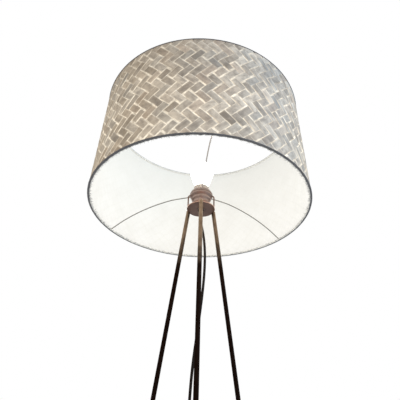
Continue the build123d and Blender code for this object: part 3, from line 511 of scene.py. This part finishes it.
DROP_ROUTE = [
    (0, 0, GRIP_BOTTOM),
    (0, 0, HUB_Z - 0.034),
    (0.004, 0, HUB_Z - 0.054),
    (0.0095, 0, HUB_Z - 0.084),
    (0.0125, 0.0005, HUB_Z - 0.124),
    (0.012, 0.001, HUB_Z - 0.172),
    (0.0085, 0.0015, HUB_Z - 0.222),
    (0.0035, 0.0015, HUB_Z - 0.270),
    (-0.002, 0.001, HUB_Z - 0.320),
    (-0.0075, 0, HUB_Z - 0.368),
    (-0.0115, -0.001, HUB_Z - 0.420),
    (-0.0135, -0.002, HUB_Z - 0.486),
    (-0.0125, -0.0025, HUB_Z - 0.560),
    (-0.009, -0.003, HUB_Z - 0.638),
    (-0.004, -0.003, HUB_Z - 0.718),
    (0.0015, -0.0035, HUB_Z - 0.798),
    (0.006, -0.004, HUB_Z - 0.876),
    (0.0085, -0.005, HUB_Z - 0.950),
    (0.0095, -0.006, HUB_Z - 1.022),
    (0.0095, -0.007, HUB_Z - 1.092),
    (0.009, -0.008, HUB_Z - 1.154),
    (0.008, -0.009, HUB_Z - 1.204),
    (0.0045, -0.0095, 0.054),
    (-0.0035, -0.010, 0.029),
    (-0.0195, -0.0095, 0.011),
    (-0.0415, -0.008, 0.0036),
    (-0.064, -0.0065, 0.0046),
    SWITCH_IN,
]
LEAD_ROUTE = [
    SWITCH_OUT,
    (-0.216, -0.0075, 0.0046),
    (-0.237, -0.018, 0.0032),
    (-0.249, -0.040, 0.003),
    (-0.249, -0.067, 0.003),
    (-0.236, -0.092, 0.003),
    (-0.212, -0.109, 0.003),
    (-0.180, -0.118, 0.003),
    (-0.144, -0.122, 0.003),
    (-0.108, -0.123, 0.003),
]
TAIL_ROUTE = [
    (-0.030, -0.1175, 0.0088),
    (-0.007, -0.1165, 0.0055),
    (0.013, -0.114, 0.0044),
    PLUG_TAIL,
]
COIL_LANES = [(39, 3.0), (33, 3.0), (27, 3.0), (30, 8.2), (36, 8.2)]  # radius and height of each turn, in mm
POINTS_A_TURN = 18
EASE_FROM = 0.6  # the share of a turn that stays in its own lane
COIL_LEAVES = 8 * MM  # where the cord has left its last turn, past the start of that turn


def coil_turns():
    """The coil's points: each turn lies in its own lane, and eases over to the next lane in its last part."""
    points = []
    for lane, (radius, height) in enumerate(COIL_LANES):
        next_radius, next_height = COIL_LANES[min(lane + 1, len(COIL_LANES) - 1)]
        for step in range(POINTS_A_TURN):
            ease = max(0.0, (step / POINTS_A_TURN - EASE_FROM) / (1 - EASE_FROM))
            ease = ease * ease * (3 - 2 * ease)
            angle = -pi / 2 + 2 * pi * step / POINTS_A_TURN
            lane_radius = (radius + (next_radius - radius) * ease) * MM
            lane_height = (height + (next_height - height) * ease) * MM
            points.append((COIL.x + lane_radius * cos(angle), COIL.y + lane_radius * sin(angle), lane_height))
    last_radius, last_height = COIL_LANES[-1]
    points.append((COIL.x + COIL_LEAVES, COIL.y - last_radius * MM, last_height * MM))
    return points


def cord(name, route):
    """A round cord along one smooth spline with the route's points as its control points."""
    curve = bpy.data.curves.new(name, "CURVE")
    curve.dimensions = "3D"
    curve.bevel_depth = CORD_R
    curve.bevel_resolution = 6
    curve.resolution_u = 8
    spline = curve.splines.new("NURBS")
    spline.points.add(len(route) - 1)
    for point, place in zip(spline.points, route):
        point.co = (*place, 1.0)
    spline.order_u = 3
    spline.use_endpoint_u = True
    made = bpy.data.objects.new(name, curve)
    bpy.context.collection.objects.link(made)
    curve.materials.append(SHEATH)
    return made


TIE_ANGLE = radians(118)
TIE_WIDTH = 9 * MM
TIE_THICKNESS = 0.8 * MM
TIE_EDGE = 0.3 * MM  # how far the strap's faces are set in from its sides
TIE_SLACK = 0.25 * MM
TIE_STEPS = 72
FLOOR_GAP = 0.05 * MM
TAIL_LENGTH = 14.3 * MM
TAIL_STEPS = 14
TAIL_WIDTH = 0.92 * TIE_WIDTH
TAIL_START = 3 * MM  # inside the middle of the cord's last turn
TAIL_TIP = (0.75, 0.6)  # the share of the tail where its tip starts, and how much of its width the tip loses
TAIL_DROOP = (0.35, 2.2 * MM)  # the share of the tail where it starts to droop, and how strongly


def round_the_turns(clearance):
    """The outline of a strap drawn tight round the turns, as (radius from the coil's axis, height) points."""
    outline = []
    reach = CORD_R + clearance
    for step in range(TIE_STEPS):
        about = 2 * pi * step / TIE_STEPS
        out, up = cos(about), sin(about)
        radius, height = max(COIL_LANES, key=lambda lane: lane[0] * out + lane[1] * up)
        outline.append((radius * MM + reach * out, max(height * MM + reach * up, FLOOR_GAP)))
    return outline


def coil_tie():
    """A strap round the coil, whose free end lies over its top and sticks out past the outermost turn."""
    tangent = Vector((-sin(TIE_ANGLE), cos(TIE_ANGLE), 0.0))
    outward = Vector((cos(TIE_ANGLE), sin(TIE_ANGLE), 0.0))

    def tie_point(radius, height, aside):
        return Vector((COIL.x, COIL.y, height)) + outward * radius + tangent * aside

    inner, edge_inner, edge_outer, outer = (
        round_the_turns(TIE_SLACK + share * TIE_THICKNESS) for share in (0.0, 0.15, 0.85, 1.0)
    )
    half = TIE_WIDTH / 2
    face = half - TIE_EDGE
    rings = [(inner, -face), (edge_inner, -half), (edge_outer, -half), (outer, -face),
             (outer, face), (edge_outer, half), (edge_inner, half), (inner, face)]
    vertices = [tie_point(radius, height, aside) for outline, aside in rings for radius, height in outline]
    faces = []
    for ring in range(len(rings)):
        after = (ring + 1) % len(rings)
        for step in range(TIE_STEPS):
            beside = (step + 1) % TIE_STEPS
            faces.append((ring * TIE_STEPS + step, ring * TIE_STEPS + beside,
                          after * TIE_STEPS + beside, after * TIE_STEPS + step))
    # The free end: a tongue with a round tip that leaves the strap's top and droops beyond the coil.
    start = len(vertices)
    last_radius, last_height = COIL_LANES[-1]
    top = last_height * MM + CORD_R + TIE_SLACK + TIE_THICKNESS
    for station in range(TAIL_STEPS):
        along = station / (TAIL_STEPS - 1)
        tip = max(0.0, (along - TAIL_TIP[0]) / (1 - TAIL_TIP[0]))
        width = TAIL_WIDTH / 2 * (1 - TAIL_TIP[1] * tip ** 2)
        radius = last_radius * MM - TAIL_START + TAIL_LENGTH * along
        droop = TAIL_DROOP[1] * max(0.0, along - TAIL_DROOP[0]) ** 2
        height = top + 0.5 * MM * sin(pi * along) - droop
        for aside, rise in ((-width, 0), (width, 0), (width, TIE_THICKNESS), (-width, TIE_THICKNESS)):
            vertices.append(tie_point(radius, height + rise, aside))
    for station in range(TAIL_STEPS - 1):
        for k in range(4):
            a = start + station * 4 + k
            b = start + station * 4 + (k + 1) % 4
            faces.append((a, a + 4, b + 4, b))
    faces.append(tuple(start + k for k in range(4)))
    faces.append(tuple(start + (TAIL_STEPS - 1) * 4 + k for k in reversed(range(4))))
    made = mesh_object("coil_tie", vertices, faces, GRIP, smooth=False)
    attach(made, "stand")
    return made


drop = cord("hanging_cord", DROP_ROUTE)
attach(drop, "stand")
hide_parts("cord_drop")
([nodes[name] for name in ("cord_grip", "switch_relief_in", "switch_base", "switch_cover",
                                              "switch_button", "switch_contacts", "switch_screws")]
        + [button_spring()])

lead = cord("floor_cord", LEAD_ROUTE + coil_turns() + TAIL_ROUTE)
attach(lead, "stand")
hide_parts("cord_lead", "cord_coil", "cord_tail")
([nodes[name] for name in ("switch_relief_out", "plug_relief", "plug_body", "plug_pins")]
        + [coil_tie()])


# ---- Shade's wall --------------------------------------------------------------------------------
def wall_r(height, inset=0.0):
    """The radius of the plait's outer face at a height above the shade's lower edge, less an inset."""
    return WALL_LOW_R + (WALL_HIGH_R - WALL_LOW_R) * height / SHADE_HEIGHT - inset


def round_axis(radius, angle, height):
    """A point at a radius, angle and height above the shade's lower edge."""
    return (radius * cos(angle), radius * sin(angle), SHADE_LOW + height)


# ---- Plaited cover -------------------------------------------------------------------------------
COLUMNS = 66  # strips of each direction round the shade
ROW = 27.9 * MM  # from a row of rising floats to the next row of falling ones
FIRST_ROW = 24.0 * MM  # the lowest row of rising floats, above the lower edge
PLAIT_TURN = radians(1.0)
STRIP_FILL = 0.94  # a strip's width over its pitch
STRIP_THICKNESS = 0.5 * MM
LIFT = 0.42 * MM  # how far a strip stands over or dips under the middle of the plait
CROWN = 0.22 * MM
MIDDLE_INSET = 1.05 * MM  # the middle of the plait under the cover's outer face
PLAIT_EDGE = 1.0 * MM  # the strips' cut ends, inside the edge tape
UNEVEN = 0.055  # how far a strip strays to each side, over its pitch
UNEVEN_WIDTH = 0.04
UNEVEN_ENDS = 0.17  # how far a float's end moves along the strip, in crossings
STRAY_RATES = (0.25, 1.3)  # how fast a strip strays along its length, in radians a crossing
ENDS_RATE = 1.7  # how much faster the floats' ends move
STRIP_TONE = 0.10  # how far the tone of a whole strip is from the others
FLOAT_TONES = (0.05, 1.0, 0.55)  # lowest, highest and most common tone of a float
OVER_EDGE = 2.6  # how steeply a strip passes from over to under
ACROSS = (-1.0, -0.84, -0.35, 0.35, 0.84, 1.0)
BACK_EDGE = 0.98  # the rear edges of a strip, against its front edges at 1
STEPS_A_CELL = (0.0, 0.3, 0.5, 0.7)  # places in each crossing, from its middle
CELLS_BELOW = 4  # crossings that each strip starts under the lower edge, which the trim cuts off
CELLS_SPARE = 6
CROSSING = 18.5 * MM  # along a strip, for its grain
STRIP_HALF = 9 * MM
GRAIN_APART = 0.37  # from one strip's place in the grain to the next one's


def over_under(t):
    """1 where a strip lies over two crossings, -1 where it lies under the next two."""
    return max(-1.0, min(1.0, OVER_EDGE * cos(pi * (t - 0.5) / 2)))


def plait(name, rising, finish):
    """Every strip of one direction, as closed ribbons that go over two and under two."""
    draws = random.Random(11 if rising else 29)
    vertices, faces, grains = [], [], []
    values = {"tone": [], "tint": [], "across": [], "ends": []}
    cells = int(2 * SHADE_HEIGHT / ROW) + CELLS_SPARE
    times = [cell - CELLS_BELOW + step for cell in range(cells) for step in STEPS_A_CELL]
    ring = len(ACROSS) + 2
    for strip in range(COLUMNS):
        float_tones = [draws.triangular(*FLOAT_TONES) for _ in range(cells)]
        float_tints = [draws.random() for _ in range(cells)]
        strip_tone = draws.uniform(-STRIP_TONE, STRIP_TONE)
        stray = [(draws.uniform(*STRAY_RATES), draws.uniform(0, 2 * pi)) for _ in range(4)]
        start = len(vertices)
        for t in times:
            # A falling strip lies over where a rising one lies under, so its pattern is two crossings on.
            slip = UNEVEN_ENDS * sin(stray[3][0] * ENDS_RATE * t + stray[3][1])
            level = over_under(t + slip if rising else t + slip - 2)
            since = t + (1.5 if rising else 3.5)
            run = int(since // 4)
            along_float = abs((since + slip) % 4 - 2)
            drift = UNEVEN * (sin(stray[0][0] * t + stray[0][1]) + sin(stray[1][0] * t + stray[1][1])) / 2
            width = STRIP_FILL + UNEVEN_WIDTH * sin(stray[2][0] * t + stray[2][1])
            places = [(e, 0.0) for e in ACROSS]
            places += [(BACK_EDGE, STRIP_THICKNESS), (-BACK_EDGE, STRIP_THICKNESS)]
            for e, depth in places:
                shift = e * width / 2 + drift
                column = (t + shift) / 2 if rising else -(t + shift) / 2
                row = (t - shift) / 2
                height = FIRST_ROW + (row - 0.25) * ROW
                angle = 2 * pi * (strip + column) / COLUMNS - pi / 2 + PLAIT_TURN
                crown = CROWN * (1 - e * e) * max(level, 0.0)
                radius = wall_r(height, MIDDLE_INSET) + level * LIFT + crown - depth
                vertices.append(round_axis(radius, angle, height))
                values["tone"].append(min(1.0, max(0.0, float_tones[run % cells] + strip_tone)))
                values["tint"].append(float_tints[run % cells])
                values["across"].append(abs(e))
                values["ends"].append(along_float)
                grains.append((t * CROSSING + strip * GRAIN_APART, e * STRIP_HALF))
        for at in range(len(times) - 1):
            for k in range(ring):
                a = start + at * ring + k
                b = start + at * ring + (k + 1) % ring
                quad = (a, b, b + ring, a + ring)
                faces.append(quad if rising else quad[::-1])
    made = mesh_object(name, vertices, faces, finish)
    mesh = made.data
    for key, numbers in values.items():
        mesh.attributes.new(key, "FLOAT", "POINT").data.foreach_set("value", numbers)
    unwrap(mesh, grains)
    trim(mesh, SHADE_LOW + PLAIT_EDGE, SHADE_HIGH - PLAIT_EDGE)
    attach(made, "shade")
    return made


def trim(mesh, low, high):
    """Cut a mesh off level below low and above high, and close the cuts."""
    work = bmesh.new()
    work.from_mesh(mesh)
    for height, normal in ((low, (0, 0, -1)), (high, (0, 0, 1))):
        cut = bmesh.ops.bisect_plane(work, geom=work.verts[:] + work.edges[:] + work.faces[:],
                                     plane_co=(0, 0, height), plane_no=normal, clear_outer=True)
        edges = [item for item in cut["geom_cut"] if isinstance(item, bmesh.types.BMEdge)]
        bmesh.ops.edgeloop_fill(work, edges=edges)
    work.to_mesh(mesh)
    work.free()


rising = plait("strips_rising", True, plait_strip("strip_rising", 3.7))
falling = plait("strips_falling", False, plait_strip("strip_falling", 8.1))
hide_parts("shade_cover")
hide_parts("shade_cover")


# ---- Lining and edge tapes -----------------------------------------------------------------------
AROUND = 360
TAPE_AROUND = 1080
AROUND_LENGTH = 0.27  # about the shade's radius, for the length along its lining and tapes


def ring_solid(name, section, finish, wobble=None, around=AROUND):
    """A ring about the lamp's axis from a closed section of (radius, height) points. wobble(index, angle)
    says how far a point of the section moves out and up."""
    vertices, faces, grains = [], [], []
    lengths = [0.0]
    for a, b in zip(section, section[1:]):
        lengths.append(lengths[-1] + math.dist(a, b))
    for step in range(around):
        angle = 2 * pi * step / around
        for index, (radius, height) in enumerate(section):
            out, up = wobble(index, angle) if wobble else (0.0, 0.0)
            vertices.append(round_axis(radius + out, angle, height + up))
            grains.append((angle * AROUND_LENGTH, lengths[index]))
    count = len(section)
    for step in range(around):
        after = (step + 1) % around
        for k in range(count):
            j = (k + 1) % count
            faces.append((step * count + k, after * count + k, after * count + j, step * count + j))
    made = mesh_object(name, vertices, faces, finish)
    unwrap(made.data, grains)
    return made


def lining_sheet():
    """The stiff lining inside the plait."""
    low, high = PLAIT_EDGE, SHADE_HEIGHT - PLAIT_EDGE
    rows = 12
    heights = [low + (high - low) * row / rows for row in range(rows + 1)]
    outer = [(wall_r(h, COVER + LINING_GAP), h) for h in heights]
    inner = [(wall_r(h, COVER + LINING), h) for h in reversed(heights)]
    made = ring_solid("lining_sheet", outer + inner, LINING_GLOW)
    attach(made, "shade")
    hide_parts("shade_lining")
    return made


FOLD = 5.4 * MM  # from the outer face of the plait to the inner leg of the tape
TAPE_OUTSIDE = 1.6 * MM  # how far the tape's outer leg comes over the plait
OUTER_RAG = 0.4 * MM
INNER_RAG = 0.3 * MM
RAGGED_GAIN = 2.2  # brings the sum of many waves up to about the amount asked for
FRILL_WAVES = (9, 150)
# Places in a tape's section, counted from its outer edge.
OUTER_LEG_END = 2
FOLD_START = 6
FRILL_START = 8
FRILL_FRONT = 9
FRILL_END = 13


def ragged(seed, amount, coarsest=5, finest=140):
    """A hand-cut edge: a sum of uneven waves round the ring. The two counts are waves to the turn."""
    draws = random.Random(seed)
    waves = [(draws.randint(coarsest, finest), draws.uniform(0, 2 * pi), draws.random()) for _ in range(16)]
    total = sum(size for _, _, size in waves)

    def at(angle):
        height = sum(size * sin(count * angle + phase) for count, phase, size in waves) / total
        return amount * height * RAGGED_GAIN

    return at


def edge_binding(name, node_name, edge, direction, seed, inside, frill_depth, first_lit_face):
    """The tape folded round an edge of the shade, over its wire ring. inside is how far its inner leg comes
    over the lining, frill_depth is how uneven its fold is, and first_lit_face is the first face of the
    section on the tape's inner side, which is pale and has painted light from the lit lining on it."""
    def at(inset, rise):
        height = edge + direction * rise
        return (wall_r(height, inset), height)

    t = BINDING
    lining = COVER + LINING
    section = [
        at(0.0, TAPE_OUTSIDE), at(-0.9 * t, TAPE_OUTSIDE - 0.2 * MM), at(-t, TAPE_OUTSIDE - 0.5 * MM),
        at(-t, 0.9 * MM), at(-t, 0.7 * MM), at(-0.5 * t, 0.3 * MM), at(0.8 * MM, 0.05 * MM),
        at(2.8 * MM, 0.02 * MM), at(FOLD - 1.6 * MM, 0.05 * MM), at(FOLD + 0.5 * t, 0.6 * MM),
        at(FOLD + t, 1.8 * MM), at(FOLD + t, 3.2 * MM), at(FOLD + 0.3 * t, 3.9 * MM),
        at(FOLD - 1.6 * MM, 4.5 * MM), at(lining + 0.9 * t, 4.7 * MM), at(lining + 0.8 * t, inside),
        at(lining, inside + 0.1 * MM),
    ]
    last = len(section) - 1
    outer_edge, inner_edge = ragged(seed, OUTER_RAG), ragged(seed + 1, INNER_RAG)
    frill = ragged(seed + 2, frill_depth, *FRILL_WAVES)

    def wobble(index, angle):
        if direction < 0:
            index = last - index
        up = 0.0
        if index <= OUTER_LEG_END:
            up = direction * outer_edge(angle)
        if index >= last - 2:
            up = direction * inner_edge(angle)
        depth = abs(frill(angle))
        if OUTER_LEG_END <= index < FOLD_START:
            return -0.2 * depth, up
        if FRILL_START <= index <= FRILL_END:
            beside = frill(angle + 1.0)
            fall = -0.5 * abs(beside) if index <= FRILL_FRONT else 0.3 * beside
            return -(1.0 if index <= FRILL_FRONT + 1 else 0.3) * depth, up + direction * fall
        return 0.0, up

    made = ring_solid(name, section if direction > 0 else section[::-1], TAPE, wobble, around=TAPE_AROUND)
    # The inner side takes the pale tape with painted light from the lining.
    made.data.materials.append(LINING_LIT_TAPE)
    inner_faces = range(first_lit_face, last) if direction > 0 else range(last - first_lit_face + 1)
    for face in made.data.polygons:
        if face.index % len(section) in inner_faces:
            face.material_index = 1
    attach(made, "shade")
    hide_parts(node_name)
    return made


FRAY_SIDES = 3
FRAY_JOINTS = 4
FRAY_R = 0.42 * MM
FRAY_LENGTHS = (2.4 * MM, 7.0 * MM)
FRAY_TAPER = 0.75
OUTSIDE_SHARE = 0.25  # how many of the threads stick out of the tape's outer leg, at half the length


def frayed_threads(count, seed):
    """Loose thread ends that stick out of the lower tape, most of them at its inner edge."""
    draws = random.Random(seed)
    vertices, faces, grains = [], [], []
    for _ in range(count):
        angle = draws.uniform(0, 2 * pi)
        outside = draws.random() < OUTSIDE_SHARE
        inset = 0.2 * MM if outside else FOLD + 0.2 * MM
        rise = draws.uniform(0.6, 2.0) * MM
        place = Vector(round_axis(wall_r(rise, inset), angle, rise))
        inward = Vector((-cos(angle), -sin(angle), 0.0))
        round_about = Vector((-sin(angle), cos(angle), 0.0))
        lean = (-0.2 if outside else 0.9) * inward + draws.uniform(-1.1, 1.1) * round_about
        heading = (lean + Vector((0, 0, draws.uniform(-0.15, 0.35)))).normalized()
        length = draws.uniform(*FRAY_LENGTHS) * (0.5 if outside else 1.0)
        curl = draws.uniform(-0.5, 0.5) * round_about + Vector((0, 0, draws.uniform(0.0, 0.4)))
        side = heading.cross(Vector((0, 0, 1))).normalized()
        other = heading.cross(side)
        start = len(vertices)
        for joint in range(FRAY_JOINTS):
            along = joint / (FRAY_JOINTS - 1)
            centre = place + heading * length * along + curl * length * along * along / 2
            thickness = FRAY_R * (1 - FRAY_TAPER * along)
            for k in range(FRAY_SIDES):
                about = 2 * pi * k / FRAY_SIDES
                vertices.append(centre + (side * cos(about) + other * sin(about)) * thickness)
                grains.append((about, along))
        for joint in range(FRAY_JOINTS - 1):
            for k in range(FRAY_SIDES):
                a = start + joint * FRAY_SIDES + k
                b = start + joint * FRAY_SIDES + (k + 1) % FRAY_SIDES
                faces.append((a, a + FRAY_SIDES, b + FRAY_SIDES, b))
        faces.append(tuple(start + k for k in range(FRAY_SIDES)))
        end = start + (FRAY_JOINTS - 1) * FRAY_SIDES
        faces.append(tuple(end + k for k in reversed(range(FRAY_SIDES))))
    made = mesh_object("frayed_threads", vertices, faces, FRAY)
    unwrap(made.data, grains)
    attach(made, "shade")
    return made


lining_sheet()
edge_binding("bottom_tape", "bottom_binding", edge=0.0, direction=1, seed=5, inside=5.6 * MM,
             frill_depth=1.6 * MM, first_lit_face=8)
edge_binding("top_tape", "top_binding", edge=SHADE_HEIGHT, direction=-1, seed=17, inside=5.2 * MM,
             frill_depth=0.0, first_lit_face=11)
frayed_threads(900, 41)


# ---- Light, floor and background -----------------------------------------------------------------
def area_light(name, place, target, size, power, colour):
    """A square area light, in watts, that faces its target."""
    data = bpy.data.lights.new(name, "AREA")
    data.size = size
    data.energy = power
    data.color = colour
    light = bpy.data.objects.new(name, data)
    light.location = place
    light.rotation_euler = (Vector(target) - Vector(place)).to_track_quat("-Z", "Y").to_euler()
    bpy.context.collection.objects.link(light)
    return light


SHADE_MIDDLE = (0, 0, (SHADE_LOW + SHADE_HIGH) / 2)
area_light("window_right", (2.2, -0.9, 2.8), SHADE_MIDDLE, size=1.2, power=54.0, colour=(0.46, 0.73, 1.0))
area_light("room_left", (-2.3, -1.5, 1.6), SHADE_MIDDLE, size=1.6, power=6.0, colour=(1.0, 0.80, 0.42))
area_light("room_front", (0.3, -2.8, 1.7), SHADE_MIDDLE, size=1.8, power=9.0, colour=(0.98, 0.97, 1.0))

# The lit bulb's light, from the middle of its globe, which doesn't stand in its way.
GLOBE_R = 30 * MM
nodes["bulb_globe"].visible_shadow = False
bulb_data = bpy.data.lights.new("bulb_light", "POINT")
bulb_data.energy = 0.6
bulb_data.color = (1.0, 0.93, 0.80)
bulb_data.shadow_soft_size = 26 * MM
bulb_light = bpy.data.objects.new("bulb_light", bulb_data)
bulb_light.location = (0, 0, top_of("bulb_globe") - GLOBE_R)
bpy.context.collection.objects.link(bulb_light)

# The light that falls out of the shade's mouth onto the stand and the floor.
mouth_light = area_light("mouth_light", (0, 0, HUB_Z + 10 * MM), (0, 0, 0), size=480 * MM, power=1.2,
                         colour=(1.0, 0.90, 0.76))
mouth_light.data.shape = "DISK"
mouth_light.visible_camera = False

FLOOR = 25.0  # half of its side
FLOOR_FADE = (1.2, 5.0)  # from the lamp's axis, where the floor begins and ends to fade into the white room
WHITE = (1.0, 1.0, 1.0, 1.0)
ROOM = (1.0, 0.98, 0.95, 1.0)
ROOM_LIGHT = 0.42  # what the pale room gives the lamp, against a white of 1 behind it


def pale_floor():
    """A plain pale floor. The camera sees its far part fade into the white background, so no edge shows."""
    made, tree, shader = material("pale_floor", Roughness=0.8)
    place = object_space(tree)
    cloud = noise(tree, 3.0, place)
    feed(tree, shader, Base_Color=two_tone(tree, cloud, (0.78, 0.78, 0.77), (0.84, 0.84, 0.83)))
    away = node(tree, "ShaderNodeVectorMath", {0: place}, operation="LENGTH").outputs["Value"]
    seen = node(tree, "ShaderNodeLightPath").outputs["Is Camera Ray"]
    faded = math_node(tree, "MULTIPLY", span(tree, away, *FLOOR_FADE, 0.0, 1.0), seen)
    blank = node(tree, "ShaderNodeEmission", {"Color": WHITE, "Strength": 1.0}).outputs["Emission"]
    floor_or_room = {0: faded, 1: shader.outputs["BSDF"], 2: blank}
    both = node(tree, "ShaderNodeMixShader", floor_or_room).outputs["Shader"]
    tree.links.new(both, tree.nodes["Material Output"].inputs["Surface"])
    return made


floor_corners = [(-FLOOR, -FLOOR, 0), (FLOOR, -FLOOR, 0), (FLOOR, FLOOR, 0), (-FLOOR, FLOOR, 0)]
floor = mesh_object("floor", floor_corners, [(0, 1, 2, 3)], pale_floor())

world = bpy.data.worlds.new("studio")
world.use_nodes = True
sky = world.node_tree
sky.nodes.clear()
white = node(sky, "ShaderNodeBackground", {"Color": WHITE, "Strength": 1.0}).outputs["Background"]
room = node(sky, "ShaderNodeBackground", {"Color": ROOM, "Strength": ROOM_LIGHT}).outputs["Background"]
seen = node(sky, "ShaderNodeLightPath").outputs["Is Camera Ray"]
both = node(sky, "ShaderNodeMixShader", {0: seen, 1: room, 2: white}).outputs["Shader"]
node(sky, "ShaderNodeOutputWorld", {"Surface": both})
bpy.context.scene.world = world
bpy.context.scene.view_settings.view_transform = "Standard"
